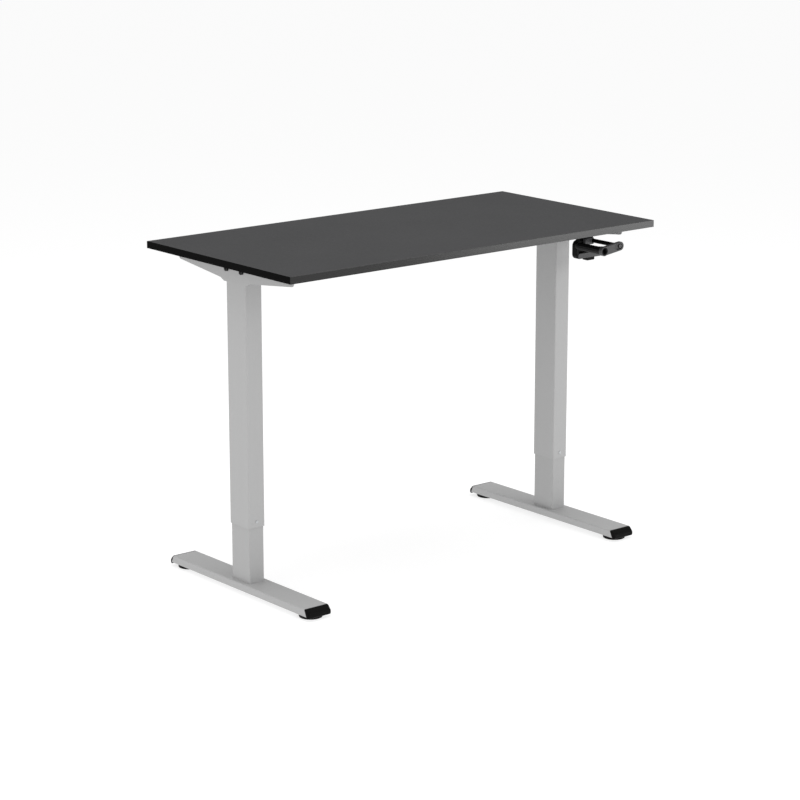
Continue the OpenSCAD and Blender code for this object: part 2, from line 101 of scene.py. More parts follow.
def new_material(name, **surface):
    """A material with a Principled surface. Returns the material, its node tree and the surface."""
    material = bpy.data.materials.new(name)
    material.use_nodes = True
    tree = material.node_tree
    tree.nodes.clear()
    shader = add_node(tree, "ShaderNodeBsdfPrincipled", surface)
    add_node(tree, "ShaderNodeOutputMaterial", {"Surface": shader.outputs["BSDF"]})
    return material, tree, shader


def per_metre(size_mm):
    """A texture scale whose pattern repeats about every size_mm."""
    return 1 / (size_mm * mm)


def place(tree):
    """Coordinates in metres, fixed to the piece."""
    return add_node(tree, "ShaderNodeTexCoord").outputs["Object"]

# %% [markdown]
# ## Melamine-faced chipboard
# The top is chipboard with a sheet of printed paper pressed onto both faces in melamine
# resin. The press plate leaves a fine pearl texture, so the face is even in colour, satin,
# and never mirror-like. A pearl is about half a millimetre, which is too fine to show from
# a few metres, so a second, broader swell of 6 mm is added at low strength. A faint colour
# drift and a scatter of paler dust-like specks keep the big flat face from looking painted.

# %% Charcoal melamine
def charcoal_melamine():
    material, tree, shader = new_material(
        "melamine_faced_chipboard", **{"Roughness": 0.6, "IOR": 1.5, "Specular IOR Level": 0.1})
    where = place(tree)
    pearl = add_node(tree, "ShaderNodeTexNoise", {"Vector": where, "Scale": per_metre(0.6), "Detail": 2.0})
    swell = add_node(tree, "ShaderNodeTexNoise", {"Vector": where, "Scale": per_metre(6), "Detail": 3.0})
    drift = add_node(tree, "ShaderNodeTexNoise", {"Vector": where, "Scale": per_metre(180), "Detail": 4.0})
    specks = add_node(tree, "ShaderNodeTexNoise", {"Vector": where, "Scale": per_metre(1.6), "Detail": 1.0})
    speck_mask = add_node(tree, "ShaderNodeMapRange", {
        "Value": specks.outputs["Fac"], "From Min": 0.66, "From Max": 0.74})
    base = add_node(tree, "ShaderNodeMix", {
        "Factor": drift.outputs["Fac"], "A": linear("#2F2F30"), "B": linear("#353536")}, data_type="RGBA")
    speckled = add_node(tree, "ShaderNodeMix", {
        "Factor": speck_mask.outputs["Result"], "A": base.outputs[2], "B": linear("#454546")},
        data_type="RGBA")
    tree.links.new(speckled.outputs[2], shader.inputs["Base Color"])
    sheen_range = add_node(tree, "ShaderNodeMapRange", {
        "Value": swell.outputs["Fac"], "To Min": 0.56, "To Max": 0.66})
    tree.links.new(sheen_range.outputs["Result"], shader.inputs["Roughness"])
    relief = add_node(tree, "ShaderNodeMath", {0: pearl.outputs["Fac"], 1: swell.outputs["Fac"]},
                      operation="ADD")
    bump = add_node(tree, "ShaderNodeBump", {
        "Height": relief.outputs["Value"], "Strength": 0.12, "Distance": 0.05 * mm})
    tree.links.new(bump.outputs["Normal"], shader.inputs["Normal"])
    return material


melamine = charcoal_melamine()
print("made", melamine.name)

# %% [markdown]
# ## ABS edge band
# The cut chipboard is hidden by a strip of coloured ABS, glued on hot and trimmed flush.
# It is duller than the faces and shows faint marks along its length from the trimming
# cutter. The long bands are glossy enough to catch a light in front of the desk. The end
# bands are the same ABS drawn darker and duller, as painted shade on the desk's ends,
# which face away from the lights; one function makes both from their own colours.

# %% Edge bands
def edge_band(name, low, high, shine, rough):
    material, tree, shader = new_material(
        name, **{"Roughness": rough, "IOR": 1.53, "Specular IOR Level": shine})
    where = place(tree)
    stretched = add_node(tree, "ShaderNodeMapping", {"Vector": where, "Scale": (0.04, 0.04, 1.0)})
    cutter = add_node(tree, "ShaderNodeTexNoise", {
        "Vector": stretched.outputs["Vector"], "Scale": per_metre(1.5), "Detail": 3.0})
    tint = add_node(tree, "ShaderNodeMix", {
        "Factor": cutter.outputs["Fac"], "A": linear(low), "B": linear(high)}, data_type="RGBA")
    tree.links.new(tint.outputs[2], shader.inputs["Base Color"])
    bump = add_node(tree, "ShaderNodeBump", {
        "Height": cutter.outputs["Fac"], "Strength": 0.15, "Distance": 0.04 * mm})
    tree.links.new(bump.outputs["Normal"], shader.inputs["Normal"])
    return material


long_band = edge_band("abs_edge_band_long", "#171717", "#1F1F1F", 0.3, 0.22)
# painted shade: the same ABS as the long bands, darker and duller for the shaded ends
end_band_painted_shade = edge_band("abs_edge_band_end_painted_shade", "#080808", "#0C0C0C", 0.02, 0.6)
print("made", long_band.name, "and", end_band_painted_shade.name)

# %% [markdown]
# ## Powder-coated steel
# Powder is sprayed on dry and baked, so it flows into a thick, even skin with a slight
# orange peel about a millimetre and a half across. It rounds every edge a little and stays
# satin. The peel is too fine to show far off, so it is drawn with a wider second swell.
# Fine darker grains in the colour stand for the pigment mix of a light grey coat.

# %% Powder coat
def powder_coat(name, base_hex, grain_hex, roughness):
    material, tree, shader = new_material(
        name, **{"Roughness": roughness, "IOR": 1.5, "Specular IOR Level": 0.4})
    where = place(tree)
    peel = add_node(tree, "ShaderNodeTexNoise", {"Vector": where, "Scale": per_metre(1.5), "Detail": 2.0})
    swell = add_node(tree, "ShaderNodeTexNoise", {"Vector": where, "Scale": per_metre(9), "Detail": 2.0})
    grain = add_node(tree, "ShaderNodeTexNoise", {"Vector": where, "Scale": per_metre(0.8), "Detail": 1.0})
    grain_mask = add_node(tree, "ShaderNodeMapRange", {
        "Value": grain.outputs["Fac"], "From Min": 0.56, "From Max": 0.72, "To Max": 0.5})
    tint = add_node(tree, "ShaderNodeMix", {
        "Factor": grain_mask.outputs["Result"], "A": linear(base_hex), "B": linear(grain_hex)},
        data_type="RGBA")
    tree.links.new(tint.outputs[2], shader.inputs["Base Color"])
    gloss = add_node(tree, "ShaderNodeMapRange", {
        "Value": swell.outputs["Fac"], "To Min": roughness - 0.05, "To Max": roughness + 0.05})
    tree.links.new(gloss.outputs["Result"], shader.inputs["Roughness"])
    relief = add_node(tree, "ShaderNodeMath", {
        0: peel.outputs["Fac"], 1: swell.outputs["Fac"]}, operation="ADD")
    bump = add_node(tree, "ShaderNodeBump", {
        "Height": relief.outputs["Value"], "Strength": 0.2, "Distance": 0.06 * mm})
    tree.links.new(bump.outputs["Normal"], shader.inputs["Normal"])
    return material


grey_coat = powder_coat("powder_coated_steel", "#ADADAD", "#8D8D8E", 0.5)
inner_coat = powder_coat("powder_coated_inner_tube", "#A9A9A9", "#8A8A8B", 0.45)
print("made", grey_coat.name, "and", inner_coat.name)

# %% [markdown]
# ## Moulded black plastic
# The crank, the end caps and the pads are glass-filled nylon or polypropylene, moulded in
# spark-eroded tools. The tool's fine pits leave a matt skin that turns paler where light
# grazes it. The pits are drawn 0.5 mm apart, a little coarser than the real 0.2 mm.

# %% Black plastic
def moulded_plastic(name, dark, pale, roughness, pit_mm, shine):
    material, tree, shader = new_material(
        name, **{"Roughness": roughness, "IOR": 1.49, "Specular IOR Level": shine})
    where = place(tree)
    pits = add_node(tree, "ShaderNodeTexNoise", {
        "Vector": where, "Scale": per_metre(pit_mm), "Detail": 3.0})
    flow = add_node(tree, "ShaderNodeTexNoise", {"Vector": where, "Scale": per_metre(25), "Detail": 3.0})
    tint = add_node(tree, "ShaderNodeMix", {
        "Factor": flow.outputs["Fac"], "A": linear(dark), "B": linear(pale)}, data_type="RGBA")
    tree.links.new(tint.outputs[2], shader.inputs["Base Color"])
    matt = add_node(tree, "ShaderNodeMapRange", {
        "Value": flow.outputs["Fac"], "To Min": roughness - 0.07, "To Max": roughness + 0.07})
    tree.links.new(matt.outputs["Result"], shader.inputs["Roughness"])
    bump = add_node(tree, "ShaderNodeBump", {
        "Height": pits.outputs["Fac"], "Strength": 0.25, "Distance": 0.05 * mm})
    tree.links.new(bump.outputs["Normal"], shader.inputs["Normal"])
    return material


black_plastic = moulded_plastic("moulded_black_nylon", "#060606", "#0A0A0A", 0.42, 0.5, 0.07)
# painted light: a lighter charcoal copy of the black nylon, for the front light on the crank arm, the bush
# and the holder's front faces
painted_light_nylon = moulded_plastic("moulded_nylon_painted_light", "#434344", "#4C4C4D", 0.45, 0.5, 0.3)
grip_plastic = moulded_plastic("moulded_black_grip", "#0C0C0D", "#121213", 0.5, 0.6, 0.12)
pad_plastic = moulded_plastic("moulded_black_polypropylene", "#050505", "#0A0A0A", 0.42, 0.7, 0.1)
white_nylon = moulded_plastic("moulded_natural_nylon", "#D8D3C4", "#E2DDD0", 0.4, 0.5, 0.45)
for plastic in (black_plastic, painted_light_nylon, grip_plastic, pad_plastic, white_nylon):
    print("made", plastic.name)

# %% [markdown]
# ## Metals left bare
# Screws and the hexagonal bars are zinc plated, which is bright with a faint blue-grey
# bloom. The bracket bolts are black oxide, the crank arm's screw is phosphated, the gears
# are sintered and oiled, the gear housings rough castings and the nuts bronze. They differ
# in colour, in how rough they are and in the size of their texture, so one recipe takes
# those three. A metal keeps its own IOR.

# %% Bare metals
def bare_metal(name, base_hex, mark_hex, roughness, texture_mm, metallic=1.0):
    material, tree, shader = new_material(name, **{"Metallic": metallic, "Roughness": roughness})
    where = place(tree)
    bloom = add_node(tree, "ShaderNodeTexNoise", {
        "Vector": where, "Scale": per_metre(texture_mm), "Detail": 4.0})
    tint = add_node(tree, "ShaderNodeMix", {
        "Factor": bloom.outputs["Fac"], "A": linear(base_hex), "B": linear(mark_hex)}, data_type="RGBA")
    tree.links.new(tint.outputs[2], shader.inputs["Base Color"])
    haze = add_node(tree, "ShaderNodeMapRange", {
        "Value": bloom.outputs["Fac"], "To Min": roughness - 0.08, "To Max": roughness + 0.1})
    tree.links.new(haze.outputs["Result"], shader.inputs["Roughness"])
    bump = add_node(tree, "ShaderNodeBump", {
        "Height": bloom.outputs["Fac"], "Strength": 0.15, "Distance": 0.03 * mm})
    tree.links.new(bump.outputs["Normal"], shader.inputs["Normal"])
    return material


zinc = bare_metal("zinc_plated_steel", "#C9CBCC", "#AEB2B4", 0.3, 4)
black_oxide = bare_metal("black_oxide_steel", "#1C1C1D", "#0F0F10", 0.4, 2, metallic=0.6)
sintered = bare_metal("sintered_oiled_steel", "#6A6865", "#4B4947", 0.35, 1)
cast_iron = bare_metal("cast_grey_iron", "#4E4E50", "#3B3B3D", 0.6, 1.2, metallic=0.7)
dull_steel = bare_metal("phosphated_steel", "#6E6E6F", "#525253", 0.5, 2, metallic=0.8)
bronze = bare_metal("machined_bronze", "#B08A4A", "#8F6C34", 0.3, 3)
for metal in (zinc, black_oxide, sintered, cast_iron, dull_steel, bronze):
    print("made", metal.name)

# %% [markdown]
# ## Clean shading
# The frame's meshes come as triangles that don't share corners. A chain of modifiers mends
# that without touching the mesh itself: Weld joins the corners, a planar Decimate turns
# triangles back into whole flat faces, a Bevel rounds the edges, and a small geometry node
# group then shades every edge under 35 degrees smooth and leaves the rest sharp. The group
# is made once and shared. Weighted normals keep the big flat faces flat up to the bevel.

# %% Modifier chain
smooth_angle = math.radians(35)
flat_angle = math.radians(0.5)
weld_mm, bevel_segments = 0.002, 2


def shade_by_angle():
    group = bpy.data.node_groups.new("shade_by_angle", "GeometryNodeTree")
    group.interface.new_socket("Geometry", in_out="INPUT", socket_type="NodeSocketGeometry")
    group.interface.new_socket("Geometry", in_out="OUTPUT", socket_type="NodeSocketGeometry")
    given = add_node(group, "NodeGroupInput")
    angle = add_node(group, "GeometryNodeInputMeshEdgeAngle")
    shallow = add_node(group, "FunctionNodeCompare", {
        0: angle.outputs["Unsigned Angle"], 1: smooth_angle}, data_type="FLOAT", operation="LESS_THAN")
    faces = add_node(group, "GeometryNodeSetShadeSmooth", {0: given.outputs[0]}, domain="FACE")
    edges = add_node(group, "GeometryNodeSetShadeSmooth", {
        0: faces.outputs[0], "Shade Smooth": shallow.outputs["Result"]}, domain="EDGE")
    add_node(group, "NodeGroupOutput", {0: edges.outputs[0]})
    return group


shading = shade_by_angle()


def finish_edges(piece, edge_mm):
    """Welds a piece, rounds its sharp edges by edge_mm, and shades it."""
    weld = piece.modifiers.new("weld", "WELD")
    weld.merge_threshold = weld_mm * mm
    if edge_mm:
        flat = piece.modifiers.new("flat", "DECIMATE")
        flat.decimate_type = "DISSOLVE"
        flat.angle_limit = flat_angle
        bevel = piece.modifiers.new("edges", "BEVEL")
        bevel.width = edge_mm * mm
        bevel.segments = bevel_segments
        bevel.limit_method = "ANGLE"
        bevel.angle_limit = smooth_angle
    piece.modifiers.new("shade", "NODES").node_group = shading
    weighted = piece.modifiers.new("weighted", "WEIGHTED_NORMAL")
    weighted.keep_sharp = True


print("chain ready:", shading.name)

# %% [markdown]
# ## Dressing the frame's own parts
# Tubes, brackets, rails, bars and gears have their right shape already, so they only need
# their finish. Tube and sheet metal are never knife-sharp: 0.4 mm of rounding under the
# powder is enough to catch a line of light along a fold. Castings and bolt heads are
# rounder. Parts that stay inside the legs and under the board keep their sharp edges.

# %% Finish the frame's parts
def dress(names, material, edge_mm=0.0):
    for name in names:
        part = nodes[name]
        part.data.materials.clear()
        part.data.materials.append(material)
        finish_edges(part, edge_mm)
    print(material.name, "on", len(names), "parts")


def both(*stems):
    return [stem + side for stem in stems for side in ("_left", "_right")]


dress(["tabletop_board"], melamine)
trimmed_edge, coated_edge, cast_edge = 0.35, 0.4, 0.5
coated = both("foot", "side_bracket", "column_outer") + ["cross_rail_front", "cross_rail_back"]
dress(["edge_band_front", "edge_band_back"], long_band, trimmed_edge)
# the end bands carry painted shade
dress(["edge_band_left", "edge_band_right"], end_band_painted_shade, trimmed_edge)
dress(coated, grey_coat, coated_edge)
dress(both("column_inner"), inner_coat, 0.3)
dress(both("base_plate", "spindle") + ["pad_inserts", "foot_bolts"], zinc)
dress(["cross_bar", "drive_bar", "thrust_bearings", "crank_screws"], zinc)
dress(both("gear_housing", "housing_lid"), cast_iron, cast_edge)
dress(both("spindle_gear", "cross_gear") + ["drive_gear"], sintered)
dress(both("nut_carrier", "lower_guide"), white_nylon)
# the bush is drawn in the lighter nylon that carries painted light
dress(["crank_bush"], painted_light_nylon, coated_edge)
dress(["spindle_nuts"], bronze)
dress(["guide_screws", "tabletop_screws", "rail_screws"], zinc, 0.2)
dress(["bracket_bolts"], black_oxide, cast_edge)

# %% [markdown]
# ## Making round and flat pieces
# Most moulded pieces here are either turned or cut from a thick outline. A lathe spins a
# profile of radius and height round the Z axis. A plate takes closed outlines, the first
# one outside and the others as holes: a filled 2D curve makes its rounded arrises by
# itself. Both work in millimetres and are scaled to metres when the piece is placed.

# %% Lathe, plate and placing
arris_steps = 2
def lathe(profile, steps=72, shape=None):
    """Spins (radius, z) points. shape(radius, angle, z) may change the radius round the turn."""
    bm = bmesh.new()
    rings = []
    for radius, z in profile:
        ring = []
        for i in range(steps if radius else 1):
            angle = 2 * math.pi * i / steps
            r = shape(radius, angle, z) if shape else radius
            ring.append(bm.verts.new((r * math.cos(angle), r * math.sin(angle), z)))
        rings.append(ring)
    bored = profile[0][0] > 0
    for low, high in zip(rings, rings[1:] + rings[:1] if bored else rings[1:]):
        for i in range(steps):
            corners = [low[i % len(low)], low[(i + 1) % steps % len(low)],
                       high[(i + 1) % steps % len(high)], high[i % len(high)]]
            bm.faces.new(list(dict.fromkeys(corners)))
    return bm


def rounded(w, h, r, x=0.0, y=0.0, grow=0.0, steps=10):
    """Closed outline of a rounded rectangle about (x, y), grown all round."""
    w, h, r = w + 2 * grow, h + 2 * grow, max(r + grow, 0.05)
    points = []
    for quarter, (sx, sy) in enumerate(((1, 1), (-1, 1), (-1, -1), (1, -1))):
        for i in range(steps + 1):
            a = math.radians(90 * (quarter + i / steps))
            points.append((x + sx * (w / 2 - r) + r * math.cos(a), y + sy * (h / 2 - r) + r * math.sin(a)))
    return points


def stepped(corners, grow=0.0, steps=6):
    """Outline with square turns: (x, y, radius, sx, sy), where sx and sy say which way growing moves it."""
    points = []
    count = len(corners)
    placed = [(x + sx * grow, y + sy * grow) for x, y, r, sx, sy in corners]
    for i, (x, y) in enumerate(placed):
        r = corners[i][2]
        before, after = Vector(placed[i - 1]), Vector(placed[(i + 1) % count])
        here = Vector((x, y))
        d1, d2 = (before - here).normalized(), (after - here).normalized()
        centre = here + r * (d1 + d2)
        for k in range(steps + 1):
            a = math.radians(90 * k / steps)
            points.append(tuple(centre - r * (d2 * math.cos(a) + d1 * math.sin(a))))
    return points


def disc(r, x=0.0, y=0.0, grow=0.0, steps=64):
    turn = [2 * math.pi * i / steps for i in range(steps)]
    return [(x + (r + grow) * math.cos(a), y + (r + grow) * math.sin(a)) for a in turn]


def plate(outlines, low, high, edge):
    """Plate from z low to z high. Outlines are given inset by edge, and holes enlarged by it."""
    curve = bpy.data.curves.new("outline", "CURVE")
    curve.dimensions = "2D"
    curve.fill_mode = "BOTH"
    curve.extrude = (high - low) / 2 - edge
    curve.bevel_depth = edge
    curve.bevel_resolution = arris_steps
    for points in outlines:
        spline = curve.splines.new("POLY")
        spline.points.add(len(points) - 1)
        spline.points.foreach_set("co", [c for x, y in points for c in (x, y, 0, 1)])
        spline.use_cyclic_u = True
    holder = bpy.data.objects.new("outline", curve)
    mesh = holder.to_mesh()
    bm = bmesh.new()
    bm.from_mesh(mesh)
    holder.to_mesh_clear()
    bpy.data.objects.remove(holder)
    bpy.data.curves.remove(curve)
    bmesh.ops.remove_doubles(bm, verts=bm.verts, dist=weld_mm)
    bmesh.ops.translate(bm, verts=bm.verts, vec=(0, 0, (low + high) / 2))
    return bm


def joined(*parts):
    """One bmesh out of several, freeing them."""
    whole = bmesh.new()
    spare = bpy.data.meshes.new("spare")
    for part in parts:
        part.to_mesh(spare)
        whole.from_mesh(spare)
        part.free()
    bpy.data.meshes.remove(spare)
    return whole


def turned(bm, matrix):
    bmesh.ops.transform(bm, matrix=matrix, verts=bm.verts)
    return bm


def make_piece(name, bm, where, material, edge_mm=0.0):
    bmesh.ops.recalc_face_normals(bm, faces=bm.faces)
    bm.transform(Matrix.Scale(mm, 4))
    mesh = bpy.data.meshes.new(name)
    bm.to_mesh(mesh)
    bm.free()
    mesh.materials.append(material)
    piece = bpy.data.objects.new(name, mesh)
    bpy.context.scene.collection.objects.link(piece)
    piece.matrix_world = where
    finish_edges(piece, edge_mm)
    size = [round(v / mm, 1) for v in piece.dimensions]
    print(name, len(mesh.vertices), "points", size, "mm")
    return piece


def stand_in(piece, *names):
    """piece moves with the first node's body and is shown in place of them all."""
    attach(piece, body_of_node[names[0]])
    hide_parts(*names)


def at(x, y, z, turn=0.0):
    """A place in millimetres, turned about Z by degrees."""
    return Matrix.Translation((x * mm, y * mm, z * mm)) @ Matrix.Rotation(math.radians(turn), 4, "Z")


leg_x, under_z, shaft_z = 517.5, 848.0, 800.5
ends = (("front", 180), ("back", 0))
sides = (("left", -leg_x), ("right", leg_x))
print("legs at", leg_x, "mm either side")

# %% [markdown]
# ## Foot end caps
# Each foot tube is cut on a slant and closed by a moulded cap. The cap's nose slopes down
# from the tube's top face, breaks over a small ridge, and ends in a rounded lip above the
# levelling pad, a little below the tube. It is lofted from flat slices: each slice is a
# rounded outline whose front edge follows the nose's profile, and whose width follows the
# tube's own rounded corners. A plug behind the nose holds the cap inside the tube.

# %% Foot end caps
foot_w, foot_t, foot_low, foot_r = 73.0, 20.0, 10.0, 3.0
mouth_y, mitre = 289.0, 9.0
lip_low, lip_clear = -3.0, 0.7
corner_r, thinnest = 6.5, 0.3
plug_w, plug_t, plug_back, plug_edge = 68.6, 15.6, 268.0, 0.4
nose_profile = [
    (-3.0, 3.6), (-2.8, 4.7), (-2.2, 5.9), (-1.1, 7.0), (0.0, 7.5), (0.01, 7.5), (2.0, 7.9), (5.0, 7.9),
    (7.6, 7.5), (8.8, 6.9), (9.4, 6.1), (9.7, 5.3), (10.3, 4.9), (11.5, 4.2), (13.5, 2.6), (15.5, 0.7),
    (17.5, -1.6), (18.8, -3.4), (19.6, -5.0), (20.0, -6.5)]


def nose_slice(height, reach, steps=10):
    """One flat slice of the nose: a straight back edge and a rounded front edge."""
    near = min(height - lip_low, foot_t - height)
    tuck = foot_r - math.sqrt(max(foot_r ** 2 - max(foot_r - near, 0) ** 2, 0))
    half = foot_w / 2 - tuck
    back = mouth_y - mitre * height / foot_t if height > 0 else mouth_y + lip_clear
    front = mouth_y + reach
    r = min(corner_r, front - back - thinnest)
    right = [(half - r + r * math.sin(math.radians(90 * i / steps)),
              front - r + r * math.cos(math.radians(90 * i / steps))) for i in range(steps + 1)]
    left = [(-x, y) for x, y in reversed(right)]
    return [(x, y, foot_low + height) for x, y in left + right + [(half, back), (-half, back)]]


def foot_cap():
    bm = bmesh.new()
    rings = [[bm.verts.new(co) for co in nose_slice(h, reach)] for h, reach in nose_profile]
    for low, high in zip(rings, rings[1:]):
        for i in range(len(low)):
            j = (i + 1) % len(low)
            bm.faces.new((low[i], low[j], high[j], high[i]))
    bm.faces.new(rings[0])
    bm.faces.new(rings[-1])
    upright = Matrix.Translation((0, 0, foot_low + foot_t / 2)) @ Matrix.Rotation(math.radians(-90), 4, "X")
    section = rounded(plug_w, plug_t, 1.0, grow=-plug_edge)
    plug = turned(plate([section], plug_back, mouth_y - mitre + 2, plug_edge), upright)
    return joined(bm, plug)


for end, turn in ends:
    for side, x in sides:
        cap = make_piece(f"end_cap_{end}_{side}", foot_cap(), at(x, 0, 0, turn), black_plastic)
        stand_in(cap, f"foot_cap_{end}_{side}")

# %% [markdown]
# ## Levelling pads
# A pad is a moulded disc on a threaded stud. Its rim has shallow scallops for the fingers
# and a fine step where the soft sole is pressed in, so it is turned on the lathe with a
# radius that waves round the rim.

# %% Levelling pads
def scallop(radius, angle, z):
    """Twenty-four shallow hollows round the rim only."""
    return radius - (0.35 * (0.5 + 0.5 * math.cos(24 * angle)) if radius > 29 and z > 1.5 else 0)


pad_profile = [
    (0, 0.0), (28.6, 0.0), (29.2, 0.3), (29.4, 0.9), (29.4, 1.4), (28.9, 1.6), (29.6, 1.9), (30, 2.4),
    (30, 6.6), (29.7, 7.4), (29.0, 8.0), (24, 8.5), (14, 8.8), (12, 9.0), (11, 9.3), (4, 9.4),
    (3.9, 10.5), (3.9, 24.2), (3.1, 25.0), (0, 25.0)]
pad_y = 259.0
for end, turn in ends:
    for side, x in sides:
        y = pad_y if end == "back" else -pad_y
        disc_and_stud = lathe(pad_profile, 144, scallop)
        pad = make_piece(f"levelling_pad_{end}_{side}", disc_and_stud, at(x, y, 0), pad_plastic)
        stand_in(pad, f"pad_{end}_{side}")

# %% [markdown]
# ## Crank arm
# The arm is one glass-filled moulding: a rounded bar with a long oval well over the screw
# at its shaft end and a raised ring round the hole that the grip slides through. The bar is
# a plate with two openings. The well's floor and the ring are plates of their own, sunk
# into the bar so that they read as one body.

# %% Crank arm
arm_front, arm_t, crank_r, crank_tilt = -262.0, 10.0, 58.0, 7.5
front_view = Matrix.Rotation(math.radians(90), 4, "X")
stowed = Matrix.Rotation(math.radians(180 + crank_tilt), 4, "Z")
on_arm = at(leg_x, arm_front, shaft_z) @ front_view @ stowed
bar_r, hole_r, ring_r = 10.8, 10.35, 12.6


def bar_outline(end_r, steps=24):
    half_turn = [math.pi * i / steps for i in range(steps + 1)]
    left = [(-end_r * math.sin(a), end_r * math.cos(a)) for a in half_turn]
    right = [(crank_r + end_r * math.sin(a), -end_r * math.cos(a)) for a in half_turn]
    return left + right


def well(grow):
    return rounded(24, 14.6, 7.2, 6, 0, grow=grow)


bar = plate([bar_outline(bar_r), well(1.2), disc(hole_r, crank_r, 0, 1.0)], -arm_t, -0.6, 1.0)
well_floor = plate([well(1.6)], -arm_t + 0.4, -5.0, 0.2)
well_rim = plate([well(1.6), well(0.5)], -4.0, 0.0, 0.5)
ring = plate([disc(ring_r, crank_r, 0, -0.6), disc(hole_r, crank_r, 0, 0.5)], -arm_t - 0.4, 0.0, 0.5)
# the arm is drawn in the lighter nylon: painted light for the front light on its faces
arm = make_piece("crank_arm_moulding", joined(bar, well_floor, well_rim, ring), on_arm, painted_light_nylon)
stand_in(arm, "crank_arm")

# %% [markdown]
# ## Arm screw
# One button-headed screw pulls the arm onto the rod. Its dome is turned, and its hexagonal
# socket is cut as a real hole in a plate, with the dome's ring around it.

# %% Arm screw
def hexagon(flats, grow=0.0):
    r = (flats / 2 + grow) / math.cos(math.radians(30))
    return [(r * math.cos(math.radians(60 * i)), r * math.sin(math.radians(60 * i))) for i in range(6)]


head = plate([disc(4.6, grow=-0.3), hexagon(3.0, 0.3)], -4.9, -1.6, 0.3)
shank = lathe([(0, -16), (2.4, -16), (2.4, -5.0), (4.3, -4.9), (4.3, -3.4), (0, -3.4)], 48)
screw = make_piece("arm_screw", joined(head, shank), on_arm, dull_steel)
stand_in(screw, "crank_arm_screw")

# %% [markdown]
# ## Crank rod
# The rod is a tube that slides over the hexagonal bar when the crank is pulled out. Its
# collar takes the push of the arm. The whole profile, bore and all, is spun in one go.

# %% Crank rod
rod_back, rod_end = -202.0, -4.0
rod_profile = [
    (0, -48.0), (4.5, -49.0), (4.5, rod_back + 0.6), (4.9, rod_back), (5.1, rod_back),
    (5.5, rod_back + 0.5), (5.5, -24.0), (5.8, -22.6), (6.6, -21.6), (7.6, -20.4), (8.2, -18.6),
    (8.2, -12.2), (7.6, -10.8), (6.4, -10.0), (5.3, -9.8), (5.3, rod_end), (2.5, rod_end),
    (2.5, -16.5), (0, -17.0)]
rod = make_piece("crank_rod_tube", lathe(rod_profile, 64), on_arm, black_plastic)
stand_in(rod, "crank_rod")

# %% [markdown]
# ## Grip
# The grip is a sleeve that spins on a hollow pin. The sleeve has twelve shallow flutes
# between two plain ends. The pin has a domed flange at the back and an open mouth in front,
# which is the dark hole seen in the end of the arm.

# %% Grip sleeve and pin
grip_len, sleeve_back = 104.0, -99.7
flute_count, flute_depth, fade_mm, sleeve_bore_limit = 12, 0.45, 8, 9


def flute(radius, angle, z):
    """Flutes fade in at each end and touch the outer skin only."""
    if radius < sleeve_bore_limit:
        return radius
    fade = max(0.0, min((z - sleeve_back - 6) / fade_mm, (-18 - z) / fade_mm, 1.0))
    return radius - flute_depth * fade * (0.5 - 0.5 * math.cos(flute_count * angle))


outer = [(10.2, sleeve_back + 2.0 + (96.0 * i / 40)) for i in range(41)]
sleeve_profile = ([(7.25, sleeve_back), (8.6, sleeve_back), (9.7, sleeve_back + 0.6)] + outer
                  + [(10.0, -0.6), (9.5, -0.1), (7.8, -0.1), (7.25, -0.7)])
sleeve = make_piece("grip_handle", lathe(sleeve_profile, 144, flute),
                    on_arm @ at(crank_r, 0, 0), grip_plastic)
stand_in(sleeve, "grip_sleeve")

pin_profile = [
    (0, -grip_len), (6.0, -grip_len), (8.6, -grip_len + 0.7), (9.4, -grip_len + 2.0),
    (9.5, -grip_len + 3.2), (9.0, -grip_len + 4.0), (7.2, -grip_len + 4.0), (7.2, -4.6), (6.9, -4.1),
    (6.4, -4.1), (6.1, -4.8),
    (6.1, -88.0), (0, -90.0)]
pin = make_piece("grip_pin", lathe(pin_profile, 72), on_arm @ at(crank_r, 0, 0), grip_plastic)
stand_in(pin, "grip_core")

# %% [markdown]
# ## Crank holder
# The holder hangs under the right bracket. A mounting plate carries a bearing block and two
# thin legs, and below them sits a cradle for the grip: high at its left end and low on the
# right, so that the grip can be taken from the side. Each part is a plate with rounded
# arrises, seen from the front or from above. The cradle is a closed back with a rim in
# front of it, and the rim's outline steps in and out with square, rounded turns.

# %% Crank holder
holder_place = at(leg_x, 0, under_z)


def facing(outlines, back_y, front_y, edge):
    """A plate seen from the front, between two depths. The outline's height is below the tabletop."""
    return turned(plate(outlines, -back_y, -front_y, edge), front_view)


cradle_back = stepped([
    (-53.5, -44, 13, -1, 1), (-27, -44, 4, 1, 1), (-27, -72, 4, 1, 1), (53.5, -72, 6, 1, 1),
    (53.5, -94, 10, 1, -1), (-53.5, -94, 12, -1, -1)], grow=-1.5)
cradle_rim = stepped([
    (-53.5, -44, 12, -1, 1), (-27, -44, 2, 1, 1), (-27, -50, 1.5, 1, -1), (-46, -50, 7, 1, -1),
    (-46, -78, 7, 1, 1), (46, -78, 3, -1, 1), (46, -72, 2, -1, 1), (53.5, -72, 2, 1, 1),
    (53.5, -94, 10, 1, -1), (-53.5, -94, 12, -1, -1)], grow=-1.2)
back_wall = facing([cradle_back], -132, -139, 1.5)
rim_wall = facing([cradle_rim], -136, -150, 1.2)
nose = facing([rounded(28, 13, 3.0, 0, -95, grow=-1.2)], -131, -149, 1.2)
screw_holes = [disc(2.45, x, y, 0.5) for x, y in ((-31, -120), (-6, -120), (-19, -130))]
mount = plate([rounded(46, 50, 3.0, -22, -133, grow=-0.5)] + screw_holes, -6.5, -2.5, 0.5)
legs = [facing([rounded(3, 44, 0.8, x + 1.5, -26, grow=-0.4)], -136, -150, 0.4) for x in (-37, -44)]
neck = facing([rounded(26, 52, 2.0, -14, -31, grow=-0.6)], -138, -152, 0.6)
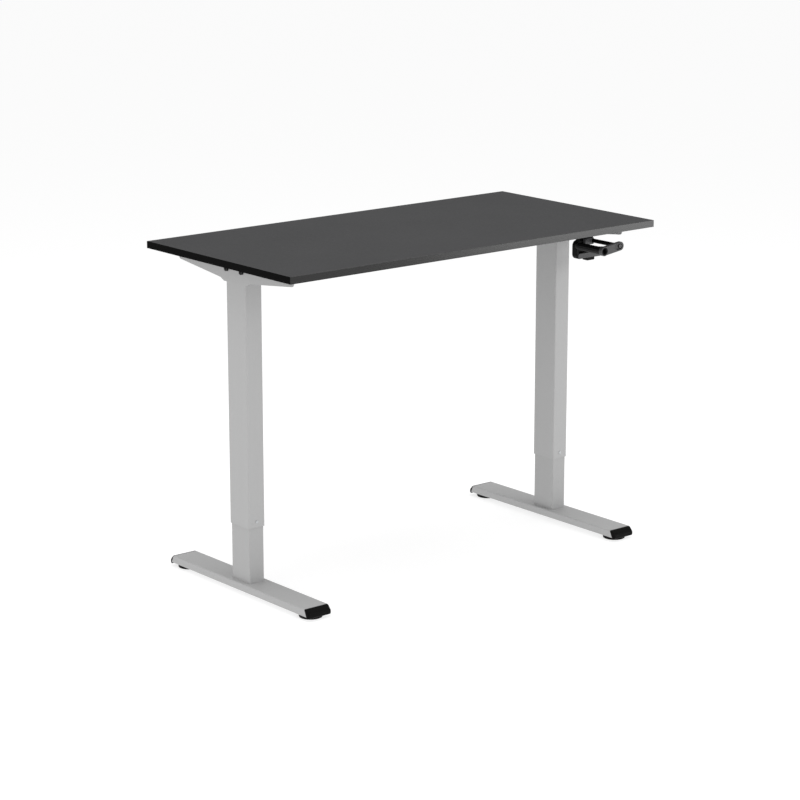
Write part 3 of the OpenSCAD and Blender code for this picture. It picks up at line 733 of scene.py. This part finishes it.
barrel = facing([disc(10.0, 0, -47.5, -0.6), disc(8.05, 0, -47.5, 0.6)], -131, -150.5, 0.6)
web = facing([rounded(14, 36, 1.0, 0, -21, grow=-0.5)], -131.5, -149.5, 0.5)
holder = make_piece("crank_holder", joined(back_wall, rim_wall, nose, mount, neck, barrel, web, *legs),
                    holder_place, black_plastic)
stand_in(holder, "crank_housing")

# %% [markdown]
# ## Bearing face and cradle lip
# The cheek beside the rod, with its small screw bosses, and the lip along the bottom of the
# cradle are front faces of the holder, drawn in a lighter charcoal: painted light for the
# front light that falls on them. They ride with the holder.

# %% Bearing face and lip
cheek_outline = stepped([
    (-29, -39, 2, -1, 1), (1.5, -39, 1.2, 1, 1), (1.5, -42, 0.6, 1, -1), (-5.5, -42, 2.5, 1, -1),
    (-5.5, -53, 2.5, 1, 1), (1.5, -53, 0.6, 1, 1), (1.5, -56.5, 1.2, 1, -1), (-29, -56.5, 2, -1, -1)],
    grow=-0.6)
cheek = facing([cheek_outline], -149, -158, 0.6)
bosses = [facing([disc(2.7, x, y, -0.4)], -156, -158.9, 0.4) for x, y in ((-24.5, -43.5), (-10, -47.5))]
lip = facing([rounded(96, 14, 6.0, 0, -86, grow=-0.8)], -146, -151.5, 0.8)
# the cheek and lip carry painted light: lighter nylon for the lit front faces
face = make_piece("crank_holder_front_painted_light", joined(cheek, lip, *bosses), holder_place, painted_light_nylon)
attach(face, body_of_node["crank_housing"])

# %% [markdown]
# ## Studio
# The desk stands on a plain pale floor under even light: a bright surround, a wide soft
# light above, and two more in front and on the left. A smaller one stands low on the right,
# where the front edge band mirrors it, so the band runs from dark to mid grey along its
# length. Soft, wide lights show the flat board and the tubes without hard shadows.

# %% Floor, surround and lights
floor_mesh = bpy.data.meshes.new("floor")
reach = 30
corners = [(-reach, -reach, 0), (reach, -reach, 0), (reach, reach, 0), (-reach, reach, 0)]
floor_mesh.from_pydata(corners, [], [(0, 1, 2, 3)])
floor = bpy.data.objects.new("floor", floor_mesh)
bpy.context.scene.collection.objects.link(floor)
floor_paint = new_material("white_floor", **{
    "Base Color": linear("#A8A8A8"), "Roughness": 0.9, "Specular IOR Level": 0.0,
    "Emission Color": linear("#FFFFFF"), "Emission Strength": 0.71})[0]
floor_mesh.materials.append(floor_paint)

surround = bpy.data.worlds.new("surround")
surround.use_nodes = True
background = surround.node_tree.nodes["Background"]
background.inputs["Color"].default_value = linear("#FFFFFF")
background.inputs["Strength"].default_value = 0.64
bpy.context.scene.world = surround
bpy.context.scene.view_settings.view_transform = "Standard"


def soft_light(name, stand, aim, size, watts):
    data = bpy.data.lights.new(name, "AREA")
    data.shape = "RECTANGLE"
    data.size = size[0]
    data.size_y = size[1]
    data.energy = watts
    light = bpy.data.objects.new(name, data)
    light.location = stand
    light.rotation_euler = (Vector(aim) - Vector(stand)).to_track_quat("-Z", "Y").to_euler()
    bpy.context.scene.collection.objects.link(light)


soft_light("low_right_light", (3.0, -2.7, 0.38), (0.2, 0, 0.6), (1.6, 0.7), 16.5)
soft_light("front_light", (1.5, -4.0, 2.4), (0, 0, 0.7), (2.5, 1.2), 30)
soft_light("left_light", (-4.5, -1.2, 1.4), (-0.6, 0, 0.4), (2.5, 2), 35)
soft_light("top_light", (0, 0, 3.2), (0, 0, 0), (4, 3), 67)
print("studio is lit")
